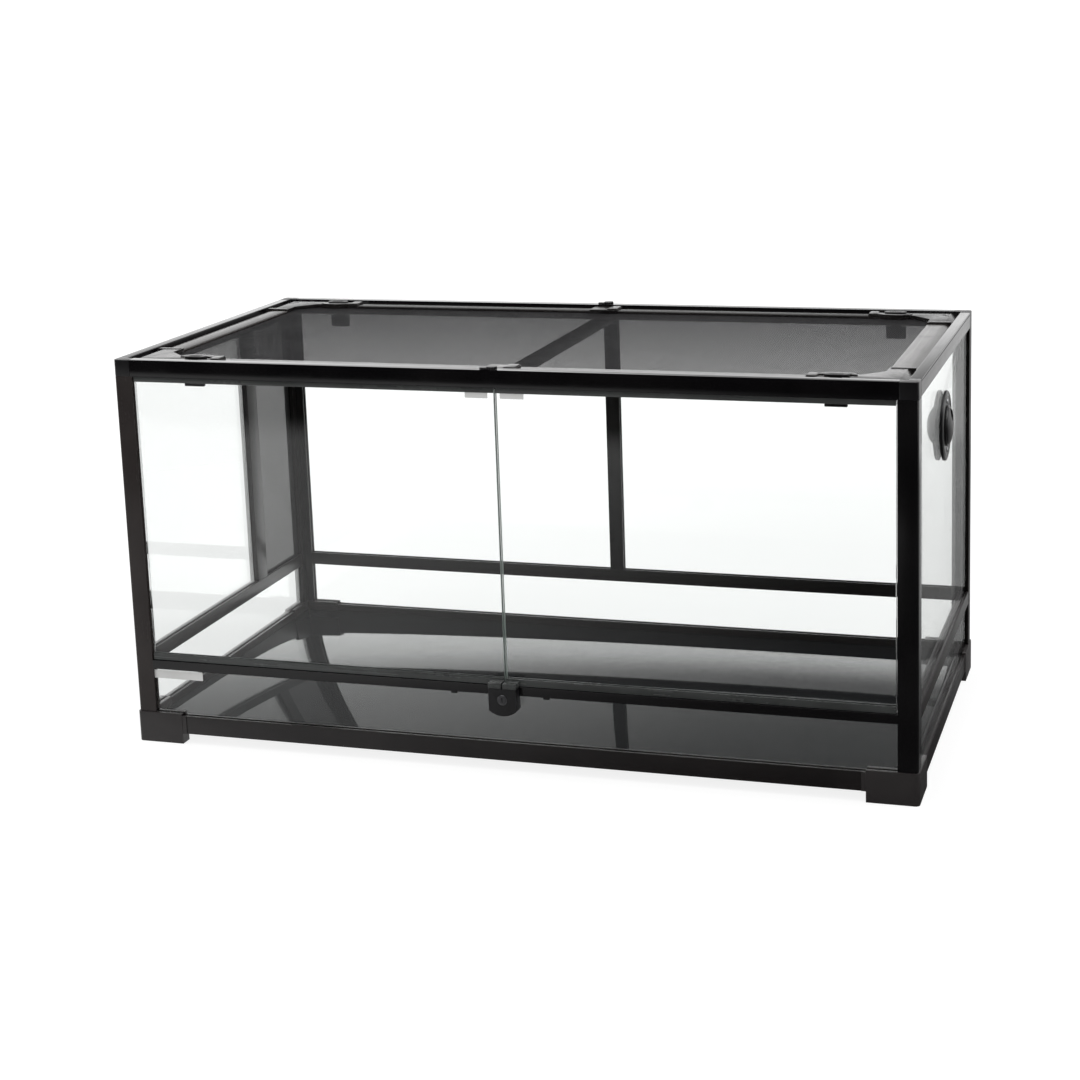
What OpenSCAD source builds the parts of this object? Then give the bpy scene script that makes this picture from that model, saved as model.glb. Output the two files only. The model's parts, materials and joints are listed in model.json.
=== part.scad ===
// Front-opening glass reptile terrarium with a lift-off screen lid.
// Millimetres, +Z up. X runs along the front, the front is -Y.
// The origin is on the table under the middle of the four feet.

/* [Overall size] */
// Width over the feet
tank_w = 914.4; // [700:0.1:1300]
// Depth over the feet
tank_d = 457.2; // [400:0.1:700]
// Height from the table to the top of the turn buttons
tank_h = 457.2; // [400:0.1:700]
// Height of the underside of the sill and middle rails
base_h = 89; // [78:0.5:140]

/* [Feet] */
// Length of each leg of a corner foot
foot_leg = 57; // [48:0.5:80]
// Height of a corner foot
foot_h = 36; // [35:0.5:44]
// How far the feet stand proud of the frame
foot_proud = 1.5; // [1:0.1:3]
// Thickness of the lip that laps the inside of a rail
foot_skin = 1.5; // [1:0.1:3]
// Length of the thin step at the end of each leg
foot_step = 5; // [3:0.5:10]
// Radius of a foot's upright outer edge
foot_round = 5; // [3:0.5:8]

/* [Frame] */
// Thickness of the rails, from outside to inside
rail_t = 12; // [11:0.5:18]
// Wall of the hollow rails
rail_wall = 1.6; // [1.2:0.1:2.4]
// Gap between the table and the bottom rails
rail_z = 12; // [8:0.5:14]
// Height of the bottom rails
bottom_rail_h = 21.5; // [18:0.5:22]
// Height of the middle rails of the sides and the rear
mid_rail_h = 16; // [14:0.5:24]
// Height of the top rails
top_rail_h = 19; // [18:0.5:30]
// Width of a corner post's faces
post_w = 22; // [21:0.5:34]
// Radius of a post's upright outer edge
post_round = 4; // [2:0.5:8]
// Width of the upright in the middle of the rear
centre_post_w = 18; // [14:0.5:30]
// Length of each leg of a top corner cap
cap_leg = 20; // [18:0.5:21]
// How far a cap's spigot goes into a top rail
spigot_l = 24; // [12:1:40]
// Clearance round a spigot
spigot_gap = 0.1; // [0.05:0.05:0.3]

/* [Glass] */
// Thickness of the wall and door glass
glass_t = 5; // [4:0.5:6]
// Thickness of the dark floor panel
floor_t = 4; // [3:0.5:8]
// From the frame's outer face to the glass
glass_in = 3.5; // [3:0.1:4]
// Clearance on each face of a pane in its groove
glass_fit = 0.2; // [0.1:0.05:0.4]
// Depth of a glass groove
groove_depth = 5.5; // [4:0.5:7]
// Play left at the top and side edges of a pane
edge_play = 0.5; // [0.2:0.1:1]
// Depth of the glass grooves in the slim uprights
slim_groove = 4; // [3:0.5:5]
// Play round the floor panel
floor_play = 0.5; // [0.3:0.1:1]

/* [Ledges] */
// Width of the ledge under the floor panel
floor_ledge_w = 8; // [6:0.5:12]
// Height of the ledge under the floor panel, from the underside of the rails
floor_ledge_t = 9; // [6:0.5:12]
// Width of the ledge that carries the lid
lid_ledge_w = 10; // [8:0.5:11]
// Thickness of the ledge that carries the lid
lid_ledge_t = 4; // [3:0.5:5]
// How far the lid's ledge lies below the frame's top
lid_ledge_drop = 13; // [12:0.5:14]
// Width of the cross bar under the middle of the lid
cross_bar_w = 27; // [20:0.5:34]

/* [Side vent] */
// Width of the vent screen that shows
vent_w = 105; // [60:1:160]
// Width of the upright between the vent and the glass
divider_w = 26; // [16:0.5:34]
// Gaps across the vent screen
vent_gaps_across = 6; // [3:1:6]
// Gaps up the vent screen
vent_gaps_up = 16; // [6:1:16]
// Width of the bars between a screen's gaps
screen_bar = 4; // [2:0.5:6]
// Thickness of the screens
screen_t = 1.2; // [0.8:0.1:2]

/* [Doors] */
// Height of the front sill
sill_h = 10.4; // [9.8:0.1:16]
// Depth of the front sill
sill_t = 14; // [13:0.5:20]
// Gap between the two doors
door_gap = 2; // [1.5:0.1:4]
// Gap between a door and its post
door_side_gap = 1.5; // [1.4:0.1:3]
// Length of the rubber wedges under the sill
wedge_w = 7; // [4:0.5:14]
// Thickness and height of the rubber wedges
wedge_t = 2.5; // [1.5:0.1:2.6]
// Distance of the left wedge from the middle of the tank
wedge_left = 61; // [30:1:200]
// Distance of the right wedge from the middle of the tank
wedge_right = 47; // [30:1:200]
// Gap above and below a door
door_end_gap = 0.5; // [0.3:0.1:1]
// Thickness of the strips along a door's edges
strip_t = 8; // [7.5:0.5:9]
// From the frame's outer face to the strips
strip_in = 1.5; // [0.5:0.1:1.5]
// Height of a door's bottom strip
bottom_strip_h = 7.8; // [6:0.1:12]
// Height of a door's top strip
top_strip_h = 5.8; // [5:0.1:10]
// Web of a strip beyond the glass
strip_web = 1.5; // [1.2:0.1:2]
// From a door's outer edge to its hinge pin
pin_inset = 8; // [7:0.5:12]
// Radius of a hinge pin
pin_r = 2; // [1.5:0.1:2.5]
// Length of a hinge pin
pin_l = 4; // [3:0.1:4]
// Running clearance round pins and shafts
run_gap = 0.08; // [0.03:0.01:0.1]
// Height of the stop that a door closes against
stop_h = 3.5; // [2:0.1:5]
// Gap between a closed door and its stop
stop_gap = 0.3; // [0.2:0.1:1]

/* [Lock] */
// Width of the lock
lock_w = 32; // [26:0.5:44]
// Height of the lock's body
lock_h = 31; // [28:0.5:40]
// How far the lock stands out from the frame
lock_out = 11.5; // [10.5:0.1:11.5]
// Radius of the lock's curved lower edge
lock_round = 24; // [22:0.5:40]
// Radius of the key cylinder
key_r = 5.25; // [4.5:0.05:6]
// Width of the slot for the key
key_slot_w = 1.2; // [0.8:0.1:2]
// Height of the slot for the key
key_slot_h = 5.6; // [3:0.1:7]
// Depth of the slot for the key
key_slot_deep = 2; // [1:0.1:3]
// How far the key cylinder lies below the top of the lock
key_drop = 12.5; // [11.5:0.1:14]
// Thickness of the door catches above the lock
catch_h = 5.8; // [5:0.1:8]
// Width of the lock's bolt
bolt_w = 10; // [9:0.5:14]
// Thickness of the lock's bolt
bolt_t = 2.8; // [2:0.1:3]
// Length of the lock's bolt
bolt_l = 23.9; // [22.5:0.1:24.5]
// How far the bolt lies in front of the frame
bolt_out = 2.3; // [1.5:0.1:2.5]
// Travel of the bolt
bolt_travel = 3; // [2:0.1:3.2]
// Clearance round the bolt
bolt_gap = 0.2; // [0.15:0.05:0.3]

/* [Lid] */
// Gap round the lid in the frame
lid_gap = 0.5; // [0.4:0.1:1.5]
// Width of the lid's front and rear rails
lid_rail_w = 28; // [24:0.5:36]
// Width of the lid's side rails
lid_side_w = 30; // [24:0.5:40]
// Width of the slope along the front and rear edges
lid_slope_w = 10; // [6:0.5:12]
// Width of the slope along the side edges
lid_side_slope_w = 10; // [6:0.5:16]
// Height of the lid's outer edge
lid_edge_h = 4; // [3:0.5:6]
// Height of the lid's rails
lid_h = 10; // [9:0.5:11]
// Extra height of the lid's corner and middle pieces
lid_piece_rise = 1.5; // [0.5:0.1:1.7]
// Length of a lid corner along the front or rear
lid_corner_x = 108; // [100:1:140]
// Length of a lid corner along the side
lid_corner_y = 75; // [50:1:110]
// Size of the web in a lid corner
lid_web = 22; // [12:1:40]
// Width of the middle pieces of the lid
tee_w = 36; // [30:1:60]
// Depth of the slot that holds the screen
screen_seat = 4; // [2:0.5:6]
// Height of the screen above the lid's underside
screen_up = 6; // [5:0.1:6]
// Gaps along the lid's screen
lid_gaps_along = 17; // [8:1:17]
// Gaps across the lid's screen
lid_gaps_across = 12; // [4:1:12]

/* [Lid latches] */
// Distance from the end of the lid to the middle of a latch
latch_inset = 76.2; // [60:0.1:88]
// Width of a latch's hook
hook_w = 24; // [18:0.5:34]
// Thickness of a latch's hook
hook_t = 5; // [4:0.5:7]
// Height of a latch's hook
hook_h = 15; // [8:0.5:20]
// Gap between the hook and the ledge it grips
hook_gap = 0.6; // [0.4:0.1:1]
// Width of a latch's shank
shank_w = 12; // [8:0.5:16]
// Travel of a latch
latch_travel = 6; // [4:0.5:6.5]
// Width of a latch's knob
knob_w = 27; // [18:0.5:36]
// Depth of a latch's knob
knob_d = 11; // [8:0.5:13]
// Height of a latch's knob
knob_h = 2.6; // [2:0.1:3]

/* [Turn buttons] */
// Distance of the turn buttons from the middle
button_x = -3; // [-12:0.5:12]
// Height of a turn button
button_h = 3; // [2.5:0.1:5]
// Radius of a turn button's boss
button_r = 5.9; // [4:0.1:6]
// Reach of a turn button's tongue
button_reach = 14; // [11:0.5:18]
// Width of a turn button's tongue
button_w = 7; // [5:0.5:9]
// Radius of a turn button's pivot
button_pin_r = 1.5; // [1:0.1:2]
// Gap under a turn button
button_gap = 0.2; // [0.1:0.05:0.5]

/* [Cable port] */
// How far the port's middle lies below the frame's top
port_drop = 94; // [80:1:140]
// Radius of the port's flanges
port_flange_r = 39.5; // [37:0.5:55]
// Radius of the hole in the glass
port_hole_r = 34; // [31:0.5:36]
// Thickness of the outer flange
port_outer_t = 4; // [3:0.1:4.5]
// Thickness of the inner flange
port_inner_t = 3.5; // [3:0.1:5]
// Radius of the dial
dial_r = 23; // [21:0.5:24]
// Thickness of each dial plate
dial_t = 5.5; // [4:0.1:6]
// Radius of the dial's shaft
dial_shaft_r = 4; // [3:0.1:5]
// Radius of the cable hole
cable_r = 7; // [4:0.1:7.5]
// Distance of the cable hole from the shaft
cable_offset = 13; // [12.6:0.1:14]
// Distance of the port's screws from the shaft
port_screw_at = 28; // [27.5:0.5:30]
// Radius of the port's screws
port_screw_r = 1.5; // [1:0.1:2]
// Gap between the dial and the flanges
dial_gap = 0.3; // [0.2:0.05:0.6]

/* [Hidden] */
$fn = 64;

// Colours
black = [0.09, 0.085, 0.09];
charcoal = [0.2, 0.18, 0.18];
plastic = [0.12, 0.12, 0.13];
clear = [0.85, 0.93, 0.9, 0.3];
smoked = [0.12, 0.12, 0.13, 0.9];
mesh_grey = [0.3, 0.3, 0.32];

// How far a cut runs past a face
past = 1;

// Frame
frame_x = tank_w / 2 - foot_proud;
frame_y = tank_d / 2 - foot_proud;
frame_top = tank_h - button_h - button_gap;
bottom_rail_top = rail_z + bottom_rail_h;
floor_z = rail_z + floor_ledge_t;
floor_top = floor_z + floor_t;
mid_top = base_h + mid_rail_h;
top_z = frame_top - top_rail_h;
groove_in = glass_in - glass_fit;
groove_w = glass_t + 2 * glass_fit;
glass_seat = groove_depth - edge_play;
slim_seat = slim_groove - glass_fit;
ledge_top = frame_top - lid_ledge_drop;
ledge_in = rail_t + lid_ledge_w;
cavity_z = top_z + groove_depth + rail_wall;
cavity_top = frame_top - rail_wall;
post_x = frame_x - post_w;
post_y = frame_y - post_w;
foot_clear = 0.3;

// Doors
sill_top = base_h + sill_h;
door_low = sill_top + door_end_gap;
door_high = top_z - door_end_gap;
door_out = post_x - door_side_gap;
hinge_x = door_out - pin_inset;
hinge_in = strip_in + strip_t / 2;
stop_in = strip_in + strip_t + stop_gap;
stop_half = hinge_x - pin_inset - past;
pin_tip_gap = 0.4;

// Lock
lock_half = lock_w / 2;
lock_top = sill_top - 0.1;
key_z = lock_top - key_drop;
bolt_in = -bolt_out;
bolt_rest = lock_top - 0.4;
bolt_low = bolt_rest - bolt_l;
drive_r = 0.9;
drive_at = bolt_travel;
drive_slot = drive_r + 0.21 * bolt_travel + bolt_gap;

// Lid
lid_x = frame_x - rail_t - lid_gap;
lid_y = frame_y - rail_t - lid_gap;
lid_in_x = lid_x - lid_side_w;
lid_in_y = lid_y - lid_rail_w;
piece_h = lid_h + lid_piece_rise;
piece_top = ledge_top + piece_h;
screen_z = ledge_top + screen_up;
latch_x = lid_x - latch_inset;
web_z = screen_z + screen_t + 0.2;
hook_in = ledge_in + hook_gap;
hook_top = ledge_top - lid_ledge_t - hook_gap;
shank_in = hook_in + 1;
shank_t = hook_t - 1;
latch_gap = 0.3;
knob_z = piece_top + 0.1;

// Turn buttons
button_in = rail_t / 2;
button_z = frame_top + button_gap;
tongue_t = 1.8;

// Cable port
port_z = frame_top - port_drop;
glass_back = glass_in + glass_t;
port_boss_r = port_hole_r - 0.3;
dial_face = glass_in - port_outer_t - dial_gap;
dial_back = glass_back + port_inner_t + dial_gap;

// ---- Helpers ----

// A piece drawn on the front wall, with the frame's outer face at y = 0 and
// +y going inwards, put on the named wall. On a side wall, x becomes Y.
module on_wall(side) {
    if (side == "front") translate([0, -frame_y, 0]) children();
    if (side == "rear") mirror([0, 1, 0]) translate([0, -frame_y, 0]) children();
    if (side == "right") rotate([0, 0, 90]) translate([0, -frame_x, 0]) children();
    if (side == "left") mirror([1, 0, 0]) rotate([0, 0, 90]) translate([0, -frame_x, 0]) children();
}

// A piece drawn at the front left corner of the frame, put on a named corner.
module at_corner(right, rear) {
    if (!right && !rear) translate([-frame_x, -frame_y, 0]) children();
    if (right && !rear) mirror([1, 0, 0]) translate([-frame_x, -frame_y, 0]) children();
    if (!right && rear) mirror([0, 1, 0]) translate([-frame_x, -frame_y, 0]) children();
    if (right && rear) rotate([0, 0, 180]) translate([-frame_x, -frame_y, 0]) children();
}

// A section drawn as (depth inwards, height), drawn out along x.
module bar(length) {
    rotate([90, 0, 90]) linear_extrude(length, center = true) children();
}

// A rectangle from one corner to the other.
module area(x0, y0, x1, y1) {
    translate([x0, y0]) square([x1 - x0, y1 - y0]);
}

// A box from one corner to the other.
module block(low, high) {
    translate(low) cube(high - low);
}

// An L in plan, with its outer corner at the origin and rounded.
module corner_plan(leg, t, r) {
    difference() {
        union() {
            square([leg, t]);
            square([t, leg]);
        }
        difference() {
            translate([-past, -past]) square(r + past);
            translate([r, r]) circle(r);
        }
    }
}

// A round rod or hole along y, from depth a to depth b.
module along_y(r, a, b) {
    translate([0, b, 0]) rotate([90, 0, 0]) cylinder(r = r, h = b - a);
}

// ---- Feet and bottom rails ----

module foot() {
    reach = foot_leg - foot_proud;
    inside = rail_t + foot_skin;
    difference() {
        union() {
            translate([-foot_proud, -foot_proud, 0])
                linear_extrude(foot_h)
                    corner_plan(foot_leg, inside + foot_proud, foot_round);
            block([reach - past, -foot_proud / 2, rail_z], [reach + foot_step, 0, bottom_rail_top]);
            block([-foot_proud / 2, reach - past, rail_z], [0, reach + foot_step, bottom_rail_top]);
        }
        // Sockets of the two rails
        block([rail_t, 0, rail_z], [reach + past, rail_t, bottom_rail_top]);
        block([0, rail_t, rail_z], [rail_t, reach + past, bottom_rail_top]);
        // Room for the ledges and the floor panel
        block([rail_t, rail_t, rail_z], [reach + past, reach + past, floor_top + foot_clear]);
        // Gap between the two lips, so that the rails' inner edges can meet
        block([rail_t, rail_t, rail_z], [inside + past, inside + past, bottom_rail_top]);
        // Slots for the base glass
        block(
            [post_w - groove_depth, groove_in, bottom_rail_top - past],
            [reach + past, groove_in + groove_w, foot_h + past]
        );
        block(
            [groove_in, post_w - groove_depth, bottom_rail_top - past],
            [groove_in + groove_w, reach + past, foot_h + past]
        );
    }
}

module bottom_rail(half) {
    color(charcoal)
        bar(2 * half)
            difference() {
                area(0, rail_z, rail_t, bottom_rail_top);
                area(groove_in, bottom_rail_top - groove_depth, groove_in + groove_w, bottom_rail_top + past);
                area(
                    rail_wall, rail_z + rail_wall,
                    rail_t - rail_wall, bottom_rail_top - groove_depth - rail_wall
                );
            }
}

// Four strips inside the bottom rails that carry the floor panel
module floor_ledges() {
    color(charcoal)
        for (wall = [
            ["front", frame_x - rail_t], ["rear", frame_x - rail_t],
            ["left", frame_y - rail_t - floor_ledge_w], ["right", frame_y - rail_t - floor_ledge_w]
        ])
            on_wall(wall[0])
                bar(2 * wall[1]) area(rail_t, rail_z, rail_t + floor_ledge_w, floor_z);
}

module floor_panel() {
    x = frame_x - rail_t - floor_play;
    y = frame_y - rail_t - floor_play;
    color(smoked) block([-x, -y, floor_z], [x, y, floor_top]);
}

// ---- Posts and middle rails ----

// The groove for the side glass runs all the way up; the groove in the leg
// along the front or rear runs up to groove_top.
module post(groove_top) {
    difference() {
        translate([0, 0, foot_h])
            linear_extrude(top_z - foot_h)
                corner_plan(post_w, rail_t, post_round);
        block(
            [groove_in, post_w - groove_depth, foot_h - past],
            [groove_in + groove_w, post_w + past, top_z + past]
        );
        block(
            [post_w - groove_depth, groove_in, foot_h - past],
            [post_w + past, groove_in + groove_w, groove_top]
        );
    }
}

module post_front() {
    color(black) post(base_h + groove_depth);
}

module post_rear() {
    color(black) post(top_z + past);
}

module mid_rail(half) {
    bar(2 * half)
        difference() {
            area(0, base_h, rail_t, mid_top);
            area(groove_in, base_h - past, groove_in + groove_w, base_h + groove_depth);
            area(groove_in, mid_top - groove_depth, groove_in + groove_w, mid_top + past);
        }
}

module front_sill() {
    color(black)
        difference() {
            union() {
                bar(2 * post_x)
                    difference() {
                        area(0, base_h, sill_t, sill_top);
                        area(groove_in, base_h - past, groove_in + groove_w, base_h + groove_depth);
                    }
                bar(2 * stop_half) area(stop_in, sill_top - past, sill_t, sill_top + stop_h);
            }
            for (x = [-hinge_x, hinge_x])
                translate([x, hinge_in, sill_top + door_end_gap - pin_l - pin_tip_gap])
                    cylinder(r = pin_r + run_gap, h = pin_l + past);
        }
}

// An upright with a glass groove on both sides, centred on x = 0.
module slim_post(w) {
    translate([0, 0, mid_top])
        linear_extrude(top_z - mid_top)
            difference() {
                area(-w / 2, 0, w / 2, rail_t);
                area(w / 2 - slim_groove, groove_in, w / 2 + past, groove_in + groove_w);
                area(-w / 2 - past, groove_in, slim_groove - w / 2, groove_in + groove_w);
            }
}

divider_at = post_y - vent_w - divider_w / 2;

// ---- Glass ----

// A pane from x0 to x1 and z0 to z1, drawn on the front wall.
module pane(x0, x1, z0, z1) {
    color(clear) block([x0, glass_in, z0], [x1, glass_back, z1]);
}

module base_pane(half) {
    pane(-half - glass_seat, half + glass_seat, bottom_rail_top - groove_depth, base_h + glass_seat);
}

module upper_pane(x0, x1) {
    pane(x0, x1, mid_top - groove_depth, top_z + glass_seat);
}

module right_glass() {
    color(clear)
        difference() {
            upper_pane(-post_y - glass_seat, post_y + glass_seat);
            translate([0, 0, port_z]) along_y(port_hole_r, glass_in - past, glass_back + past);
        }
}

// ---- Screens ----

// A flat net with nx by ny gaps and a solid margin, drawn from the origin.
module net(w, h, t, margin, nx, ny) {
    step_x = (w - 2 * margin + screen_bar) / nx;
    step_y = (h - 2 * margin + screen_bar) / ny;
    linear_extrude(t)
        difference() {
            square([w, h]);
            for (i = [0 : nx - 1], j = [0 : ny - 1])
                translate([margin + i * step_x, margin + j * step_y])
                    square([step_x - screen_bar, step_y - screen_bar]);
        }
}

module vent_screen() {
    x0 = divider_at + divider_w / 2 - slim_seat;
    x1 = post_y + glass_seat;
    z0 = mid_top - groove_depth;
    z1 = top_z + glass_seat;
    color(mesh_grey)
        translate([x0, groove_in + screen_t, z0])
            rotate([90, 0, 0])
                net(x1 - x0, z1 - z0, screen_t, groove_depth + screen_bar, vent_gaps_across, vent_gaps_up);
}

module lid_screen() {
    x = lid_in_x + screen_seat - lid_gap;
    y = lid_in_y + screen_seat - lid_gap;
    color(mesh_grey)
        translate([-x, -y, screen_z])
            net(2 * x, 2 * y, screen_t, screen_seat + screen_bar, lid_gaps_along, lid_gaps_across);
}

// ---- Top frame ----

module top_rail(half, ledge_half) {
    bar(2 * half)
        difference() {
            area(0, top_z, rail_t, frame_top);
            area(rail_wall, cavity_z, rail_t - rail_wall, cavity_top);
        }
    bar(2 * ledge_half)
        area(rail_t - rail_wall, ledge_top - lid_ledge_t, ledge_in, ledge_top);
}

module top_glass_groove(half) {
    bar(2 * half + 2 * past)
        area(groove_in, top_z - past, groove_in + groove_w, top_z + groove_depth);
}

// Notches in the front and rear ledges that let the latches' shanks slide.
module ledge_notches() {
    half = shank_w / 2 + latch_gap;
    for (x = [-latch_x, latch_x])
        block(
            [x - half, shank_in - latch_travel - latch_gap, ledge_top - lid_ledge_t - past],
            [x + half, ledge_in + past, ledge_top + past]
        );
}

// The bore of a turn button's pivot in the rail's top wall.
module button_bore() {
    translate([button_x, button_in, cavity_top - past])
        cylinder(r = button_pin_r + run_gap, h = rail_wall + 2 * past);
}

module top_rail_front() {
    half = frame_x - cap_leg;
    color(black)
        difference() {
            union() {
                top_rail(half, half);
                bar(2 * stop_half) area(stop_in, top_z - stop_h, rail_t, top_z + past);
            }
            ledge_notches();
            button_bore();
            for (x = [-hinge_x, hinge_x])
                translate([x, hinge_in, top_z - past])
                    cylinder(r = pin_r + run_gap, h = past + pin_l - door_end_gap + pin_tip_gap);
        }
}

module top_rail_rear() {
    half = frame_x - cap_leg;
    color(black)
        difference() {
            top_rail(half, half);
            top_glass_groove(half);
            ledge_notches();
            button_bore();
        }
}

module top_rail_side() {
    half = frame_y - cap_leg;
    color(black)
        difference() {
            top_rail(half, frame_y - ledge_in);
            top_glass_groove(half);
        }
}

module top_cap() {
    a = rail_wall + spigot_gap;
    b = rail_t - rail_wall - spigot_gap;
    z0 = cavity_z + spigot_gap;
    z1 = cavity_top - spigot_gap;
    difference() {
        translate([0, 0, top_z])
            linear_extrude(top_rail_h)
                corner_plan(cap_leg, rail_t, post_round);
        block(
            [post_w - groove_depth, groove_in, top_z - past],
            [cap_leg + past, groove_in + groove_w, top_z + groove_depth]
        );
        block(
            [groove_in, post_w - groove_depth, top_z - past],
            [groove_in + groove_w, cap_leg + past, top_z + groove_depth]
        );
    }
    block([cap_leg - past, a, z0], [cap_leg + spigot_l, b, z1]);
    block([a, cap_leg - past, z0], [b, cap_leg + spigot_l, z1]);
}

module top_corner_caps() {
    color(plastic)
        for (right = [false, true], rear = [false, true])
            at_corner(right, rear) top_cap();
}

module top_cross_bar() {
    y = frame_y - ledge_in;
    color(black)
        block([-cross_bar_w / 2, -y, ledge_top - lid_ledge_t], [cross_bar_w / 2, y, ledge_top]);
}

// Two rubber wedges that hold the base glass under the sill
module sill_wedges() {
    color(plastic)
        for (x = [-wedge_left, wedge_right])
            block([x - wedge_w / 2, glass_in - wedge_t, base_h - wedge_t], [x + wedge_w / 2, glass_in, base_h]);
}

// ---- Doors, drawn for the left door ----

module door_glass() {
    low = door_low + strip_web;
    high = door_high - strip_web;
    mid = hinge_in - glass_t / 2;
    color(clear) block([-door_out, mid, low], [-door_gap / 2, mid + glass_t, high]);
}

// A channel strip along the door, with its glass slot facing up or down.
module door_strip(low, high, slot_low, slot_high) {
    length = door_out - door_gap / 2;
    slot_in = hinge_in - glass_t / 2 - glass_fit;
    translate([-door_out + length / 2, 0, 0])
        bar(length)
            difference() {
                area(strip_in, low, strip_in + strip_t, high);
                area(slot_in, slot_low, slot_in + groove_w, slot_high);
            }
}

module door_catch() {
    slot_x = bolt_w / 2 + 2 * bolt_gap;
    difference() {
        block([-lock_half, -lock_out, door_low], [-door_gap / 2, strip_in + strip_web / 2, door_low + catch_h]);
        block(
            [-slot_x, bolt_in - bolt_t - 2 * bolt_gap, door_low - past],
            [past, bolt_in + 2 * bolt_gap, sill_top + bolt_travel]
        );
    }
}

module door_strips() {
    bottom_top = door_low + bottom_strip_h;
    top_low = door_high - top_strip_h;
    color(black) {
        door_strip(door_low, bottom_top, door_low + strip_web, bottom_top + past);
        door_catch();
        translate([-hinge_x, hinge_in, door_low - pin_l]) cylinder(r = pin_r, h = pin_l + past);
        door_strip(top_low, door_high, top_low - past, door_high - strip_web);
        translate([-hinge_x, hinge_in, door_high - past]) cylinder(r = pin_r, h = pin_l + past);
    }
}

// ---- Lock ----

module lock_body() {
    low = lock_top - lock_h;
    color(plastic)
        difference() {
            translate([0, glass_in, 0])
                rotate([90, 0, 0])
                    linear_extrude(glass_in + lock_out)
                        intersection() {
                            area(-lock_half, low, lock_half, lock_top);
                            translate([0, low + lock_round]) circle(lock_round);
                            area(-lock_half, low, lock_half, lock_top);
                        }
            // Seat round the front of the sill
            block([-lock_half - past, 0, base_h], [lock_half + past, glass_in + past, lock_top + past]);
            // Bore of the key cylinder
            translate([0, 0, key_z])
                along_y(key_r + run_gap, -lock_out - past, bolt_in - bolt_t - bolt_gap);
            // Guide of the bolt
            block(
                [-bolt_w / 2 - bolt_gap, bolt_in - bolt_t - bolt_gap, bolt_low - bolt_gap],
                [bolt_w / 2 + bolt_gap, bolt_in + bolt_gap, lock_top + past]
            );
        }
}

module lock_cylinder() {
    face = 0.2 - lock_out;
    back = bolt_in - bolt_t - 2 * bolt_gap;
    color([0.16, 0.15, 0.15])
        translate([0, 0, key_z]) {
            difference() {
                along_y(key_r, face, back);
                block(
                    [-key_slot_w / 2, face - past, -key_slot_h / 2],
                    [key_slot_w / 2, face + key_slot_deep, key_slot_h / 2]
                );
            }
            translate([drive_at, 0, 0]) along_y(drive_r, back - past, bolt_in - bolt_t / 3);
        }
}

module lock_bolt() {
    color([0.6, 0.6, 0.62])
        difference() {
            block([-bolt_w / 2, bolt_in - bolt_t, bolt_low], [bolt_w / 2, bolt_in, bolt_rest]);
            block(
                [-drive_slot, bolt_in - bolt_t - past, key_z - drive_slot],
                [drive_at + drive_r + bolt_gap, bolt_in + past, key_z + drive_slot]
            );
        }
}

// ---- Lid ----

// The lid's outline as one slab with sloping edges.
module lid_slab(h) {
    translate([0, 0, ledge_top])
        intersection() {
            rotate([90, 0, 90])
                linear_extrude(2 * lid_x, center = true)
                    slab_section(lid_y, lid_slope_w, h);
            rotate([90, 0, 0])
                linear_extrude(2 * lid_y, center = true)
                    slab_section(lid_x, lid_side_slope_w, h);
        }
}

module slab_section(half, slope_w, h) {
    edge = h - lid_h + lid_edge_h;
    polygon([
        [-half, 0], [half, 0], [half, edge],
        [half - slope_w, h], [slope_w - half, h], [-half, edge]
    ]);
}

// The lid's rim, open in the middle and slotted for the screen.
module lid_rim(h) {
    seat_x = lid_in_x + screen_seat;
    seat_y = lid_in_y + screen_seat;
    difference() {
        lid_slab(h);
        block([-lid_in_x, -lid_in_y, ledge_top - past], [lid_in_x, lid_in_y, ledge_top + h + past]);
        block([-seat_x, -seat_y, screen_z], [seat_x, seat_y, screen_z + screen_t]);
    }
}

module lid_rail_front() {
    x = lid_x - lid_corner_x;
    color(black)
        intersection() {
            lid_rim(lid_h);
            block([-x, -lid_y - past, ledge_top - past], [x, -lid_in_y, frame_top]);
        }
}

module lid_rail_left() {
    y = lid_y - lid_corner_y;
    color(black)
        intersection() {
            lid_rim(lid_h);
            block([-lid_x - past, -y, ledge_top - past], [-lid_in_x, y, frame_top]);
        }
}

// The front left corner, with the slot that its latch slides in.
module lid_corner() {
    slot_x = shank_w / 2 + latch_gap;
    difference() {
        union() {
            intersection() {
                lid_rim(piece_h);
                block(
                    [-lid_x - past, -lid_y - past, ledge_top - past],
                    [lid_corner_x - lid_x, lid_corner_y - lid_y, frame_top]
                );
            }
            translate([-lid_in_x, -lid_in_y, web_z])
                linear_extrude(piece_top - web_z)
                    polygon([[-past, -past], [lid_web, -past], [lid_web, 0], [0, lid_web], [-past, lid_web]]);
        }
        translate([-latch_x, -frame_y, 0])
            block(
                [-slot_x, shank_in - latch_travel - latch_gap, ledge_top - past],
                [slot_x, shank_in + shank_t + latch_gap, piece_top + past]
            );
    }
}

module lid_corners() {
    color(plastic) {
        lid_corner();
        mirror([1, 0, 0]) lid_corner();
        mirror([0, 1, 0]) lid_corner();
        rotate([0, 0, 180]) lid_corner();
    }
}

// The front middle piece: a flat cap over the rail.
module lid_tee() {
    lip = 2;
    difference() {
        union() {
            block([-tee_w / 2, -lid_y, ledge_top + lid_edge_h], [tee_w / 2, -lid_in_y, piece_top]);
            block([-tee_w / 2, -lid_in_y - past, web_z], [tee_w / 2, -lid_in_y + lip, piece_top]);
        }
        lid_slab(lid_h);
    }
    block([-tee_w / 2, -lid_in_y, web_z], [tee_w / 2, -lid_in_y + lip, ledge_top + lid_h + past]);
}

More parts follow.
